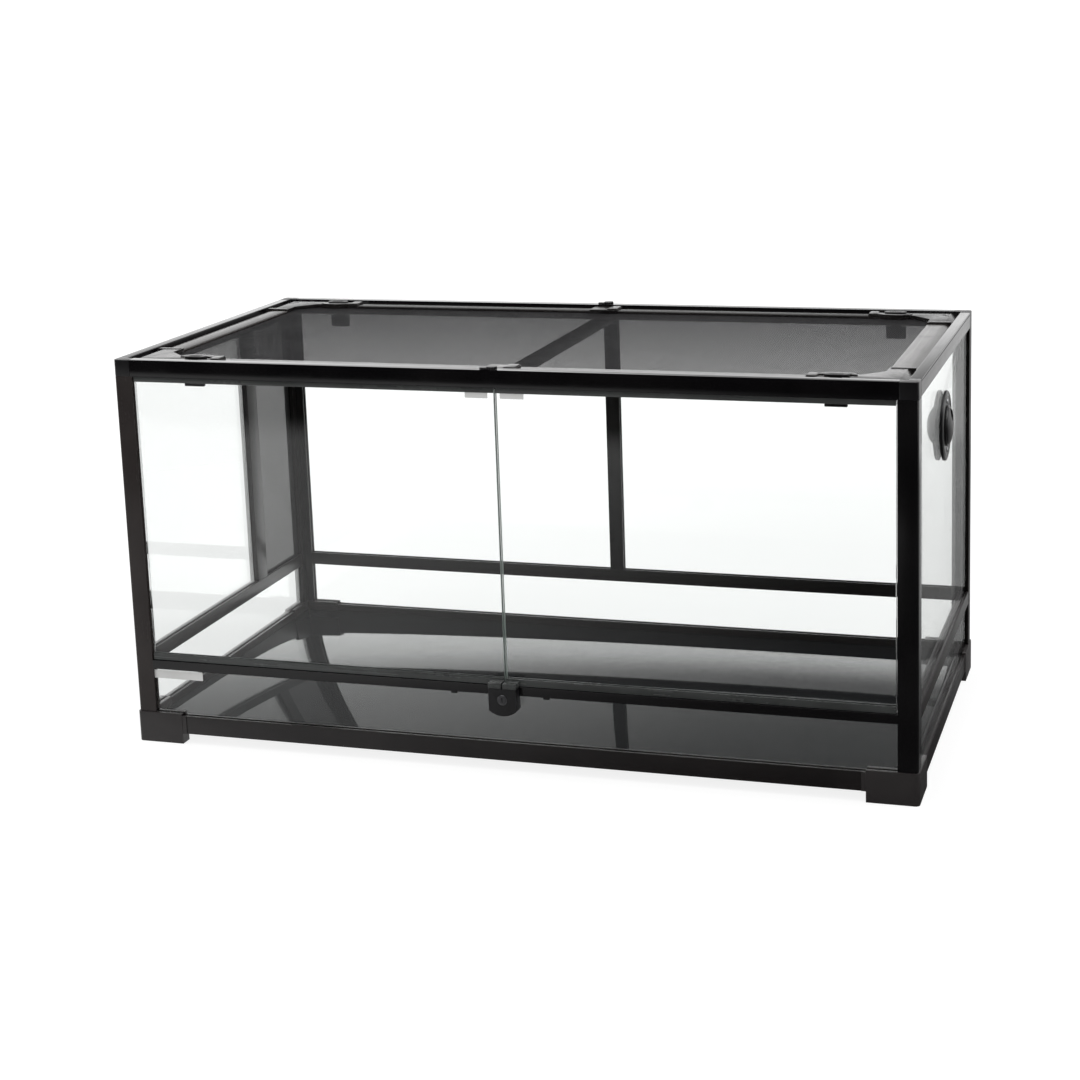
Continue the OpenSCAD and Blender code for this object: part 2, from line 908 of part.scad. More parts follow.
module lid_tees() {
    color(plastic) {
        lid_tee();
        mirror([0, 1, 0]) lid_tee();
    }
}

// ---- Latches and turn buttons, drawn on the front wall ----

module latch() {
    r = knob_d / 2;
    knob_mid = shank_in + r;
    color(plastic) {
        block([-hook_w / 2, hook_in, hook_top - hook_h], [hook_w / 2, hook_in + hook_t, hook_top]);
        block(
            [-shank_w / 2, shank_in, hook_top - past],
            [shank_w / 2, shank_in + shank_t, knob_z + past]
        );
        translate([0, knob_mid, knob_z])
            linear_extrude(knob_h)
                union() {
                    area(r - knob_w / 2, -r, knob_w / 2 - r, r);
                    for (x = [r - knob_w / 2, knob_w / 2 - r])
                        translate([x, 0]) circle(r);
                }
    }
}

module latch_front(at) {
    on_wall("front") translate([at, 0, 0]) latch();
}

module latch_rear(at) {
    on_wall("rear") translate([at, 0, 0]) latch();
}

module turn_button() {
    color(plastic)
        translate([button_x, button_in, button_z]) {
            cylinder(r = button_r, h = button_h);
            linear_extrude(tongue_t)
                union() {
                    area(button_w / 2 - button_reach, -button_w / 2, 0, button_w / 2);
                    translate([button_w / 2 - button_reach, 0]) circle(button_w / 2);
                }
            translate([0, 0, -2 * rail_wall]) cylinder(r = button_pin_r, h = 2 * rail_wall + past);
        }
}

// ---- Cable port, drawn on the right wall ----

module port_flange_outer() {
    color(plastic)
        translate([0, 0, port_z])
            difference() {
                union() {
                    along_y(port_flange_r, glass_in - port_outer_t, glass_in);
                    along_y(port_boss_r, glass_in - past, glass_back);
                }
                port_cuts(glass_in - port_outer_t - past, glass_back + past);
                port_screw_bores(glass_in - port_outer_t - past, glass_back + past);
            }
}

module port_flange_inner() {
    back = glass_back + port_inner_t;
    color(plastic)
        translate([0, 0, port_z])
            difference() {
                along_y(port_flange_r, glass_back, back);
                port_cuts(glass_back - past, back + past);
                port_screw_bores(glass_back - past, back - past);
            }
}

// The shaft's bore and the cable hole below it.
module port_cuts(a, b) {
    along_y(dial_shaft_r + run_gap, a, b);
    translate([0, 0, -cable_offset]) along_y(cable_r, a, b);
}

module port_screw_bores(a, b) {
    for (side = [-1, 1])
        translate([0, 0, side * port_screw_at]) along_y(port_screw_r + run_gap, a, b);
}

// One shaft with a plate at each end. The cable holes lie above the shaft at
// rest, and half a turn brings them over the holes of the flanges.
module port_dial() {
    color(plastic)
        translate([0, 0, port_z])
            difference() {
                union() {
                    along_y(dial_r, dial_face - dial_t, dial_face);
                    along_y(dial_shaft_r, dial_face - past, dial_back + past);
                    along_y(dial_r, dial_back, dial_back + dial_t);
                }
                translate([0, 0, cable_offset])
                    along_y(cable_r, dial_face - dial_t - past, dial_back + dial_t + past);
            }
}

module port_screws() {
    head_r = 2 * port_screw_r;
    head_t = 1;
    face = glass_in - port_outer_t;
    tip = glass_back + port_inner_t - 1.5 * past;
    color([0.3, 0.3, 0.32])
        for (side = [-1, 1])
            translate([0, 0, port_z + side * port_screw_at]) {
                along_y(port_screw_r, face - head_t / 2, tip);
                along_y(head_r, face - head_t, face);
            }
}

// ---- The part ----

color(charcoal) at_corner(false, false) foot();  // foot_front_left
color(charcoal) at_corner(true, false) foot();  // foot_front_right
color(charcoal) at_corner(false, true) foot();  // foot_rear_left
color(charcoal) at_corner(true, true) foot();  // foot_rear_right
on_wall("front") bottom_rail(frame_x - rail_t);  // bottom_rail_front
on_wall("rear") bottom_rail(frame_x - rail_t);  // bottom_rail_rear
on_wall("left") bottom_rail(frame_y - rail_t);  // bottom_rail_left
on_wall("right") bottom_rail(frame_y - rail_t);  // bottom_rail_right
floor_ledges();
floor_panel();
at_corner(false, false) post_front();  // post_front_left
at_corner(true, false) post_front();  // post_front_right
at_corner(false, true) post_rear();  // post_rear_left
at_corner(true, true) post_rear();  // post_rear_right
on_wall("front") front_sill();
color(black) on_wall("rear") mid_rail(post_x);  // mid_rail_rear
color(black) on_wall("left") mid_rail(post_y);  // mid_rail_left
color(black) on_wall("right") mid_rail(post_y);  // mid_rail_right
on_wall("front") base_pane(post_x);  // base_glass_front
on_wall("rear") base_pane(post_x);  // base_glass_rear
on_wall("left") base_pane(post_y);  // base_glass_left
on_wall("right") base_pane(post_y);  // base_glass_right
color(black) on_wall("rear") slim_post(centre_post_w);  // centre_post
on_wall("rear") upper_pane(-post_x - glass_seat, slim_seat - centre_post_w / 2);  // rear_glass_left
on_wall("rear") upper_pane(centre_post_w / 2 - slim_seat, post_x + glass_seat);  // rear_glass_right
on_wall("left") upper_pane(-post_y - glass_seat, divider_at - divider_w / 2 + slim_seat);  // left_glass
color(charcoal) on_wall("left") translate([divider_at, 0, 0]) slim_post(divider_w);  // vent_divider
on_wall("left") vent_screen();
on_wall("right") right_glass();
on_wall("front") top_rail_front();
on_wall("rear") top_rail_rear();
on_wall("left") top_rail_side();  // top_rail_left
on_wall("right") top_rail_side();  // top_rail_right
top_corner_caps();
top_cross_bar();
on_wall("front") sill_wedges();
on_wall("front") door_glass();  // door_glass_left
mirror([1, 0, 0]) on_wall("front") door_glass();  // door_glass_right
on_wall("front") door_strips();  // door_strips_left
mirror([1, 0, 0]) on_wall("front") door_strips();  // door_strips_right
on_wall("front") lock_body();
on_wall("front") lock_cylinder();
on_wall("front") lock_bolt();
lid_rail_front();
mirror([0, 1, 0]) lid_rail_front();  // lid_rail_rear
lid_rail_left();
mirror([1, 0, 0]) lid_rail_left();  // lid_rail_right
lid_corners();
lid_tees();
lid_screen();
latch_front(-latch_x);  // latch_front_left
latch_front(latch_x);  // latch_front_right
latch_rear(-latch_x);  // latch_rear_left
latch_rear(latch_x);  // latch_rear_right
on_wall("front") turn_button();  // turn_button_front
on_wall("rear") turn_button();  // turn_button_rear
on_wall("right") port_flange_outer();
on_wall("right") port_flange_inner();
on_wall("right") port_dial();
on_wall("right") port_screws();
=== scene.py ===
"""Looks of the glass terrarium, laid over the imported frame."""
import bpy, bmesh, json, math
from mathutils import Vector, Matrix


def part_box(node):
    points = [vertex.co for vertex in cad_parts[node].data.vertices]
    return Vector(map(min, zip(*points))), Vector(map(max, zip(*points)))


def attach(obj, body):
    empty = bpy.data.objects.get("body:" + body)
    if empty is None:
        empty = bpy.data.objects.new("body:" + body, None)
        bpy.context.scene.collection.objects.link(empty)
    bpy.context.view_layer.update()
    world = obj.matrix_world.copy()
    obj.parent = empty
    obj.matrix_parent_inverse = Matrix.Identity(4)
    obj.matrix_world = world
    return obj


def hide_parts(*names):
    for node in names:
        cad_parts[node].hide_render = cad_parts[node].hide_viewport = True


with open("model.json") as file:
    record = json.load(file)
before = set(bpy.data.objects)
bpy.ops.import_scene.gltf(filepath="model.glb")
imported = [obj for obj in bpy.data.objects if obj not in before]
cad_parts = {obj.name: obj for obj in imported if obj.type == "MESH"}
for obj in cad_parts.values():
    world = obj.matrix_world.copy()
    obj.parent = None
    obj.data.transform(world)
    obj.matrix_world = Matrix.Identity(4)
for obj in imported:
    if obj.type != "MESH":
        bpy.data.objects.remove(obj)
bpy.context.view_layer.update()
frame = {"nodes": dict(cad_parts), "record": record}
nodes = frame["nodes"]
MM = 0.001
body_of = {n: b for b, ns in frame["record"]["behaviour"]["bodies"].items() for n in ns}

# ---------------------------------------------------------------- camera
PHOTO = 1080                                # pixels across and down
FOCAL, CENTRE_X, CENTRE_Y = 2056, 620, 380  # focal length and middle of the view, in pixels
SENSOR = 36
CAM_PLACE = (0.745, -2.259, 0.864)
CAM_LOOK = (-0.2792, 0.9407, -0.1928)
CAM_TILT = -0.0273                          # rise of the camera's sideways axis
CAM_NEAR, CAM_FAR = 0.05, 60


def make_camera():
    fwd = Vector(CAM_LOOK).normalized()
    flat = fwd.cross(Vector((0, 0, 1))).normalized()
    up0 = flat.cross(fwd)
    roll = math.asin(CAM_TILT / up0.z)
    right = flat * math.cos(roll) + up0 * math.sin(roll)
    up = right.cross(fwd)
    data = bpy.data.cameras.new("camera")
    cam = bpy.data.objects.new("camera", data)
    bpy.context.scene.collection.objects.link(cam)
    data.sensor_width = SENSOR
    data.lens = FOCAL / PHOTO * SENSOR
    data.shift_x = (PHOTO / 2 - CENTRE_X) / PHOTO
    data.shift_y = (CENTRE_Y - PHOTO / 2) / PHOTO
    data.clip_start, data.clip_end = CAM_NEAR, CAM_FAR
    rows = [(r, u, -f, p) for r, u, f, p in zip(right, up, fwd, CAM_PLACE)]
    cam.matrix_world = Matrix(rows + [(0, 0, 0, 1)])
    bpy.context.scene.camera = cam


make_camera()


# ---------------------------------------------------------------- node helpers
class Tree:
    """Short calls for shader nodes. A value is a number, a colour or a node's output."""

    def __init__(self, tree):
        self.t = tree

    def add(self, kind, **settings):
        n = self.t.nodes.new(kind)
        for k, v in settings.items():
            setattr(n, k, v)
        return n

    def link(self, a, b):
        self.t.links.new(a, b)

    def put(self, value, socket):
        if isinstance(value, (int, float)):
            socket.default_value = value
        elif isinstance(value, tuple):
            socket.default_value = (*value, 1)
        else:
            self.link(value, socket)

    def math(self, op, a, b):
        n = self.add("ShaderNodeMath", operation=op)
        self.put(a, n.inputs[0])
        self.put(b, n.inputs[1])
        return n.outputs[0]

    def ramp(self, value, lo, hi, out_lo=0.0, out_hi=1.0):
        """A smooth step from out_lo, where value is lo, to out_hi, where it is hi."""
        n = self.add("ShaderNodeMapRange", interpolation_type="SMOOTHSTEP")
        for i, v in enumerate((value, lo, hi, out_lo, out_hi)):
            self.put(v, n.inputs[i])
        return n.outputs[0]

    def mix(self, factor, a, b):
        """A mix of two colours."""
        n = self.add("ShaderNodeMix", data_type="RGBA")
        for v, i in ((factor, 0), (a, 6), (b, 7)):
            self.put(v, n.inputs[i])
        return n.outputs[2]

    def blend(self, factor, a, b):
        """A mix of two shader nodes."""
        n = self.add("ShaderNodeMixShader")
        for v, i in ((factor, 0), (a.outputs[0], 1), (b.outputs[0], 2)):
            self.link(v, n.inputs[i])
        return n

    def noise(self, vector, scale, detail, rough=0.5):
        n = self.add("ShaderNodeTexNoise")
        n.inputs["Scale"].default_value = scale
        n.inputs["Detail"].default_value = detail
        n.inputs["Roughness"].default_value = rough
        self.link(vector, n.inputs["Vector"])
        return n.outputs[0]

    def mapped(self, scale):
        """The piece's own coordinates, scaled."""
        c = self.add("ShaderNodeTexCoord")
        m = self.add("ShaderNodeMapping")
        m.inputs["Scale"].default_value = scale
        self.link(c.outputs["Object"], m.inputs["Vector"])
        return m.outputs[0]


def new_material(name):
    m = bpy.data.materials.new(name)
    m.use_nodes = True
    m.node_tree.nodes.clear()
    t = Tree(m.node_tree)
    out = t.add("ShaderNodeOutputMaterial")
    return m, t, out


# ---------------------------------------------------------------- materials
# A noise scaled like this draws streaks along the axis.
STREAK = {"x": (0.03, 1, 1), "y": (1, 0.03, 1), "z": (1, 1, 0.03), "": (1, 1, 1)}
DRIFT, SMUDGE, SCUFF = 14, 32, 160          # noise scales: colour, finger marks, rubbed edges
LINE_SHARE = 0.23                           # scale of the drag marks against the grain's
RUB_R, RUB_LO, RUB_HI = 0.0007, 0.985, 0.93  # edge radius, cosines from unworn to worn
BUMP_DEPTH = 0.0002
CLEAR_IOR, SMOKED_IOR = 1.45, 1.5


def plastic(name, low, high, rough, axis="", grain=900, bump=0.05, spec=0.5, wear=0.5,
            metallic=0.0):
    """Moulded or extruded plastic, or painted metal: drifting colour, fine grain
    along the given axis, drag marks, and edges rubbed a little paler."""
    m, t, out = new_material(name)
    b = t.add("ShaderNodeBsdfPrincipled")
    b.inputs["Specular IOR Level"].default_value = spec
    b.inputs["Metallic"].default_value = metallic
    even = t.mapped((1, 1, 1))
    grained = t.mapped(STREAK[axis])
    drift = t.noise(even, DRIFT, 3)
    fine = t.noise(grained, grain, 2, 0.6)
    lines = t.noise(grained, grain * LINE_SHARE, 3, 0.55)
    colour = t.mix(t.ramp(drift, 0.3, 0.7), low, high)
    edge = t.add("ShaderNodeBevel", samples=3)
    edge.inputs["Radius"].default_value = RUB_R
    geo = t.add("ShaderNodeNewGeometry")
    dot = t.add("ShaderNodeVectorMath", operation="DOT_PRODUCT")
    t.link(edge.outputs[0], dot.inputs[0])
    t.link(geo.outputs["Normal"], dot.inputs[1])
    rubbed = t.math("MULTIPLY", t.ramp(dot.outputs["Value"], RUB_LO, RUB_HI),
                    t.ramp(t.noise(even, SCUFF, 4, 0.7), 0.35, 0.65))
    pale = tuple(min(1.0, c * 2.2 + 0.012) for c in high)
    t.link(t.mix(t.math("MULTIPLY", rubbed, wear), colour, pale), b.inputs["Base Color"])
    marks = t.ramp(lines, 0.35, 0.7, rough * 0.92, rough * 1.12)
    smudge = t.math("MULTIPLY", t.ramp(t.noise(even, SMUDGE, 4, 0.6), 0.45, 0.75), 0.04)
    t.link(t.math("ADD", t.math("ADD", marks, smudge), t.math("MULTIPLY", rubbed, 0.1)),
           b.inputs["Roughness"])
    height = t.math("ADD", t.math("MULTIPLY", fine, 0.6), t.math("MULTIPLY", lines, 0.6))
    bump_node = t.add("ShaderNodeBump")
    bump_node.inputs["Strength"].default_value = bump
    bump_node.inputs["Distance"].default_value = BUMP_DEPTH
    t.link(height, bump_node.inputs["Height"])
    t.link(bump_node.outputs[0], b.inputs["Normal"])
    t.link(b.outputs[0], out.inputs[0])
    return m


def glass(name, tint, open_share=0.0):
    """Float glass: clear, with faint wipe marks in its polish. Shadow and diffuse rays
    pass straight through it, and so does open_share of all others."""
    m, t, out = new_material(name)
    b = t.add("ShaderNodeBsdfPrincipled")
    b.inputs["Base Color"].default_value = (*tint, 1)
    b.inputs["Transmission Weight"].default_value = 1.0
    b.inputs["IOR"].default_value = CLEAR_IOR
    wipe = t.noise(t.mapped((1, 0.35, 1)), 22, 3)
    t.link(t.ramp(wipe, 0.4, 0.8, 0.0, 0.0015), b.inputs["Roughness"])
    through = t.add("ShaderNodeBsdfTransparent")
    through.inputs[0].default_value = (*tint, 1)
    path = t.add("ShaderNodeLightPath")
    unseen = t.math("MAXIMUM", path.outputs["Is Shadow Ray"], path.outputs["Is Diffuse Ray"])
    both = t.blend(t.math("MAXIMUM", unseen, open_share), b, through)
    t.link(both.outputs[0], out.inputs[0])
    return m


def smoked(name):
    """The tinted floor panel: near-black glass with a polished face and dust."""
    m, t, out = new_material(name)
    b = t.add("ShaderNodeBsdfPrincipled")
    even = t.mapped((1, 1, 1))
    cloud = t.noise(even, 5, 3)
    t.link(t.mix(t.ramp(cloud, 0.3, 0.7), (0.010, 0.011, 0.012), (0.016, 0.017, 0.018)),
           b.inputs["Base Color"])
    dust = t.ramp(t.noise(even, 420, 2, 0.6), 0.62, 0.85, 0.0, 0.012)
    t.link(t.math("ADD", dust, t.ramp(cloud, 0.35, 0.75, 0.015, 0.04)), b.inputs["Roughness"])
    b.inputs["IOR"].default_value = SMOKED_IOR
    t.link(b.outputs[0], out.inputs[0])
    return m


BLACK_LO, BLACK_HI = (0.0022, 0.0020, 0.0024), (0.0042, 0.0038, 0.0042)
black = {a: plastic("frame_black_" + a, BLACK_LO, BLACK_HI, 0.16, a) for a in "xyz"}
charcoal = {a: plastic("base_charcoal_" + (a or "all"), (0.0085, 0.0066, 0.0066),
                       (0.013, 0.0105, 0.0105), 0.3, a, bump=0.08) for a in STREAK}
lid_black = {a: plastic("lid_black_" + (a or "all"), (0.008, 0.0068, 0.0066),
                        (0.013, 0.0112, 0.0106), 0.22, a) for a in ("x", "y", "")}
# Side rails of the lid: the front and rear rails' black made lighter, a painted sheen for the
# light these rails catch at a grazing angle.
lid_side_painted_sheen = plastic("lid_side_black_painted_sheen", (0.020, 0.0165, 0.0150), (0.028, 0.0235, 0.0215), 0.205,
                   "y", bump=0.03)
front_black = plastic("front_rail_black", BLACK_LO, BLACK_HI, 0.08, "x", bump=0.03)
# Front left post: the other posts' black made lighter and browner, painted light for the light
# its outer face catches.
post_painted_light = plastic("post_black_painted_light", (0.026, 0.0218, 0.0210), (0.034, 0.0290, 0.0280),
                     0.24, "z", spec=0.2)
fitting = plastic("fitting_plastic", (0.0045, 0.0043, 0.005), (0.008, 0.0075, 0.0085), 0.3,
                  grain=1500, bump=0.12)
rubber = plastic("rubber", (0.006, 0.006, 0.006), (0.01, 0.01, 0.01), 0.6, bump=0.2)
clear = glass("clear_glass", (0.985, 0.995, 0.99))
clear_side = glass("clear_side_glass", (0.99, 0.996, 0.993), 0.7)
floor_glass = smoked("smoked_glass")
wire = plastic("screen_wire", (0.016, 0.0155, 0.017), (0.024, 0.023, 0.025), 0.5,
               grain=2500, spec=0.2, wear=0.0)
foot_black = plastic("foot_charcoal", (0.020, 0.0175, 0.0175), (0.028, 0.0245, 0.0245), 0.34,
                     grain=1300, bump=0.15)
rear_black = {a: plastic("rear_black_" + a, (0.0030, 0.0024, 0.0020), (0.0052, 0.0042, 0.0036),
                         0.3, a, spec=0.22) for a in "xz"}
# Door strips: a grey far lighter than the frame's black, a painted highlight for the light line
# along the strips.
strip_painted_highlight = plastic("strip_grey_painted_highlight", (0.032, 0.034, 0.033), (0.046, 0.049, 0.048), 0.26, "x")
wire_side = plastic("vent_wire", (0.026, 0.026, 0.026), (0.044, 0.044, 0.044), 0.45,
                    grain=2500, spec=0.3, wear=0.0)
glass_edge = plastic("glass_edge", (0.16, 0.20, 0.18), (0.24, 0.29, 0.265), 0.3, grain=2200,
                     bump=0.1, wear=0.0)
film = plastic("label_film", (0.62, 0.62, 0.61), (0.70, 0.70, 0.69), 0.35, bump=0.03, wear=0.0)
steel = plastic("dark_steel", (0.10, 0.10, 0.105), (0.16, 0.16, 0.165), 0.32, "z",
                metallic=1.0, bump=0.1)
bright = plastic("plated_steel", (0.45, 0.45, 0.46), (0.58, 0.58, 0.6), 0.25, "z",
                 metallic=1.0, bump=0.1)

# ---------------------------------------------------------------- mesh helpers
SAME_PLACE = 2e-5                           # vertices this near are one, in metres
FLAT_ANGLE, SHARP_ANGLE = math.radians(0.6), math.radians(28)
FRAME_X, FRAME_Y = 0.4557, 0.2271           # half the frame's size over its walls, in metres
CORNERS = ("front_left", "front_right", "rear_left", "rear_right")
SIDES = (("front", "x"), ("rear", "x"), ("left", "y"), ("right", "y"))


def link(name, mesh, material, body, node=None):
    """Puts a mesh into the scene as one piece of its body."""
    o = bpy.data.objects.new(name, mesh)
    bpy.context.scene.collection.objects.link(o)
    o.data.materials.clear()
    o.data.materials.append(material)
    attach(o, body)
    if node:
        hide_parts(*([node] if isinstance(node, str) else node))
    return o


def piece(bm, name, material, body, node=None, angle=30):
    """The same from a bmesh, smooth except at edges sharper than the angle in degrees."""
    bmesh.ops.recalc_face_normals(bm, faces=bm.faces)
    mesh = bpy.data.meshes.new(name)
    bm.to_mesh(mesh)
    bm.free()
    for p in mesh.polygons:
        p.use_smooth = True
    mesh.set_sharp_from_angle(angle=math.radians(angle))
    return link(name, mesh, material, body, node)


def round_edges(bm, edges, size, segments):
    bmesh.ops.bevel(bm, geom=edges, offset=size * MM, segments=segments, profile=0.6,
                    affect="EDGES", clamp_overlap=True)


def dress(node, material, bevel=0.5, segments=2):
    """The node's own shape with its sharp edges rounded."""
    bm = bmesh.new()
    bm.from_mesh(nodes[node].data)
    bmesh.ops.remove_doubles(bm, verts=bm.verts, dist=SAME_PLACE)
    bmesh.ops.dissolve_limit(bm, angle_limit=FLAT_ANGLE, verts=bm.verts, edges=bm.edges)
    bmesh.ops.recalc_face_normals(bm, faces=bm.faces)
    edges = [e for e in bm.edges if len(e.link_faces) == 2
             and e.calc_face_angle(0) > SHARP_ANGLE]
    round_edges(bm, edges, bevel, segments)
    return piece(bm, node + "_look", material, body_of[node], node)


def wall(side):
    """Places what is drawn on the front wall, outer face at y = 0, on a wall."""
    if side == "front":
        return Matrix.Translation((0, -FRAME_Y, 0))
    if side == "rear":
        return Matrix.Diagonal((1, -1, 1, 1)) @ Matrix.Translation((0, -FRAME_Y, 0))
    turned = Matrix.Rotation(math.pi / 2, 4, "Z") @ Matrix.Translation((0, -FRAME_X, 0))
    return turned if side == "right" else Matrix.Diagonal((-1, 1, 1, 1)) @ turned


def prism(name, section, half, place, material, body, node=None):
    """A section of (depth, height) in mm drawn out along x, half to each side, in mm."""
    bm = bmesh.new()
    a = [bm.verts.new((-half * MM, d * MM, z * MM)) for d, z in section]
    b = [bm.verts.new((half * MM, d * MM, z * MM)) for d, z in section]
    bm.faces.new(a)
    bm.faces.new(b[::-1])
    n = len(section)
    for i in range(n):
        bm.faces.new((a[i], b[i], b[(i + 1) % n], a[(i + 1) % n]))
    bmesh.ops.transform(bm, matrix=place, verts=bm.verts)
    return piece(bm, name, material, body, node, 24)


def on_circle(cx, cy, r, a):
    return cx + r * math.cos(math.radians(a)), cy + r * math.sin(math.radians(a))


def arc(cx, cy, r, a0, a1, n):
    return [on_circle(cx, cy, r, a0 + (a1 - a0) * i / n) for i in range(n + 1)]


def rect(x0, y0, x1, y1):
    return [(x0, y0), (x1, y0), (x1, y1), (x0, y1)]


def plate(bm, outline, z0, z1, bevel=0.0, segments=2):
    """Adds a flat plate with that outline in mm (x, y) from z0 to z1."""
    low = [bm.verts.new((x * MM, y * MM, z0 * MM)) for x, y in outline]
    top = [bm.verts.new((x * MM, y * MM, z1 * MM)) for x, y in outline]
    bm.faces.new(low[::-1])
    cap = bm.faces.new(top)
    n = len(outline)
    for i in range(n):
        bm.faces.new((low[i], low[(i + 1) % n], top[(i + 1) % n], top[i]))
    if bevel:
        round_edges(bm, cap.edges[:], bevel, segments)


def ring(name, x, z, y, r, thick, material, body):
    """A thin ring standing on a face that looks to the front, in mm."""
    bm = bmesh.new()
    steps, around = 40, 8
    loops = []
    for i in range(steps):
        a = 2 * math.pi * i / steps
        loop = []
        for k in range(around):
            b = 2 * math.pi * k / around
            q = r + thick * math.cos(b)
            loop.append(bm.verts.new(((x + q * math.cos(a)) * MM, (y - thick * math.sin(b)) * MM,
                                      (z + q * math.sin(a)) * MM)))
        loops.append(loop)
    for i in range(steps):
        p, q = loops[i], loops[(i + 1) % steps]
        for k in range(around):
            n = (k + 1) % around
            bm.faces.new((p[k], q[k], q[n], p[n]))
    return piece(bm, name, material, body, angle=80)


def box_mm(node):
    """The node's box at rest as two corners, in mm."""
    return [v * 1000 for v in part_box(node)]


# ---------------------------------------------------------------- frame
# The front left post wears the lighter black with the painted light.
POST_LOOK = {"front_left": post_painted_light, "front_right": black["z"]}
for c in CORNERS:
    dress("foot_" + c, foot_black, 0.7)
    dress("post_" + c, POST_LOOK.get(c, rear_black["z"]))
for s, a in SIDES:
    dress("bottom_rail_" + s, charcoal[a])
    dress("base_glass_" + s, clear if a == "x" else clear_side, 0.4, 1)
for n in ("rear_glass_left", "rear_glass_right", "left_glass", "right_glass"):
    dress(n, clear if "rear" in n else clear_side, 0.4, 1)
dress("floor_panel", floor_glass, 0.6)
dress("floor_ledges", charcoal[""], 0.4, 1)
dress("front_sill", black["x"], 0.9, 3)
dress("mid_rail_rear", rear_black["x"], 0.7)
dress("mid_rail_left", charcoal["y"], 0.7)
dress("mid_rail_right", charcoal["y"], 0.7)
dress("centre_post", rear_black["z"])
dress("vent_divider", charcoal["z"])
dress("top_cross_bar", lid_black["y"])
for s, a in SIDES:
    dress("top_rail_" + s, front_black if s == "front" else black[a], 1.0, 4)

# The dark joint line along the outside of the two side top rails.
JOINT_OUT, JOINT_IN, JOINT_LO, JOINT_HI, JOINT_HALF = -0.04, 0.6, 451.0, 451.9, 206
for s in ("left", "right"):
    prism("top_groove_" + s, [(JOINT_OUT, JOINT_LO), (JOINT_OUT, JOINT_HI), (JOINT_IN, JOINT_HI),
                              (JOINT_IN, JOINT_LO)],
          JOINT_HALF, wall(s), rubber, "frame")
dress("top_corner_caps", fitting, 0.8, 3)
dress("sill_wedges", rubber, 0.3)

# ---------------------------------------------------------------- doors and lock
EDGE_DEEP, EDGE_PROUD, EDGE_SIDE, EDGE_END = 0.35, 0.06, 0.3, 1
LABEL_R, LABEL_T, LABEL_SUNK = 1, 0.12, 0.001
DOOR_LABEL_X, DOOR_LABEL_Z = {"left": (-34, -8), "right": (6, 33)}, (422.5, 431)
BASE_LABEL_X, BASE_LABEL_Z = (-437, -372), (77, 87)
LOCK_BACK = 0.5                             # from the front of the ring to the lock's face
LOCK_RING_Z, LOCK_RING_R, LOCK_RING_T = 86.8, 5.5, 0.45


def door_edge(side):
    """The polished edge of a door where the two doors meet."""
    lo, hi = box_mm("door_glass_" + side)
    if side == "left":
        x0, x1 = hi.x - EDGE_DEEP, hi.x + EDGE_PROUD
    else:
        x0, x1 = lo.x - EDGE_PROUD, lo.x + EDGE_DEEP
    bm = bmesh.new()
    plate(bm, rect(x0, lo.y + EDGE_SIDE, x1, hi.y - EDGE_SIDE), lo.z + EDGE_END,
          hi.z - EDGE_END, 0.03, 1)
    piece(bm, "door_edge_" + side, glass_edge, body_of["door_glass_" + side])


def label(name, node, xs, zs):
    """A blank film with rounded corners, stuck on the outside of a pane of the front."""
    y = box_mm(node)[0].y - LABEL_SUNK
    (x0, x1), (z0, z1) = xs, zs
    outline = []
    for cx, cz, a in ((x1 - LABEL_R, z1 - LABEL_R, 0), (x0 + LABEL_R, z1 - LABEL_R, 90),
                      (x0 + LABEL_R, z0 + LABEL_R, 180), (x1 - LABEL_R, z0 + LABEL_R, 270)):
        outline += arc(cx, cz, LABEL_R, a, a + 90, 4)
    bm = bmesh.new()
    plate(bm, outline, 0, LABEL_T)
    bmesh.ops.transform(bm, matrix=Matrix.Translation((0, y * MM, 0))
                        @ Matrix.Rotation(math.pi / 2, 4, "X"), verts=bm.verts)
    piece(bm, name, film, body_of[node])


for s in ("left", "right"):
    dress("door_glass_" + s, clear, 0.3, 1)
    # The strips take the grey with the painted highlight.
    dress("door_strips_" + s, strip_painted_highlight, 0.6)
    door_edge(s)
    label("door_label_" + s, "door_glass_" + s, DOOR_LABEL_X[s], DOOR_LABEL_Z)
label("level_label", "base_glass_front", BASE_LABEL_X, BASE_LABEL_Z)
lock = dress("lock_body", fitting, 0.9, 3)
lock_lo, lock_hi = (v.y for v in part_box("lock_body"))
for v in lock.data.vertices:
    if v.co.y < (lock_lo + lock_hi) / 2:
        v.co.y += LOCK_BACK * MM
ring("lock_ring", 0, LOCK_RING_Z, lock_lo * 1000 + LOCK_RING_T, LOCK_RING_R, LOCK_RING_T,
     steel, "frame")
dress("lock_cylinder", steel, 0.3)
dress("lock_bolt", bright, 0.3)

# ---------------------------------------------------------------- lid
LID_LOW, LID_TOP, PIECE_TOP = 441, 451, 452.5
LID_OUT, ROUND_DEEP, ROUND_HIGH = 12.5, 12.5, 6     # outer side of the rails, its rounding
LID_IN = {"x": 40.5, "y": 42.5}             # depth of the rails' inner side in the wall
LID_HALF = {"x": 335.2, "y": 139.6}
KNOB_X, KNOB_Y = 367, 194.5                 # place of a latch's knob
COLLAR_IN, COLLAR_OUT = (14.6, 2.4), (21, 13)
GRIPS, GRIP_HALF, GRIP_Y0, GRIP_Y1 = (-6, -3, 0, 3, 6), 0.6, 201.5, 194.5
BUTTON_X, BUTTON_Y, BUTTON_LOW, BUTTON_TOP = -3, 221.1, 454.2, 457.2


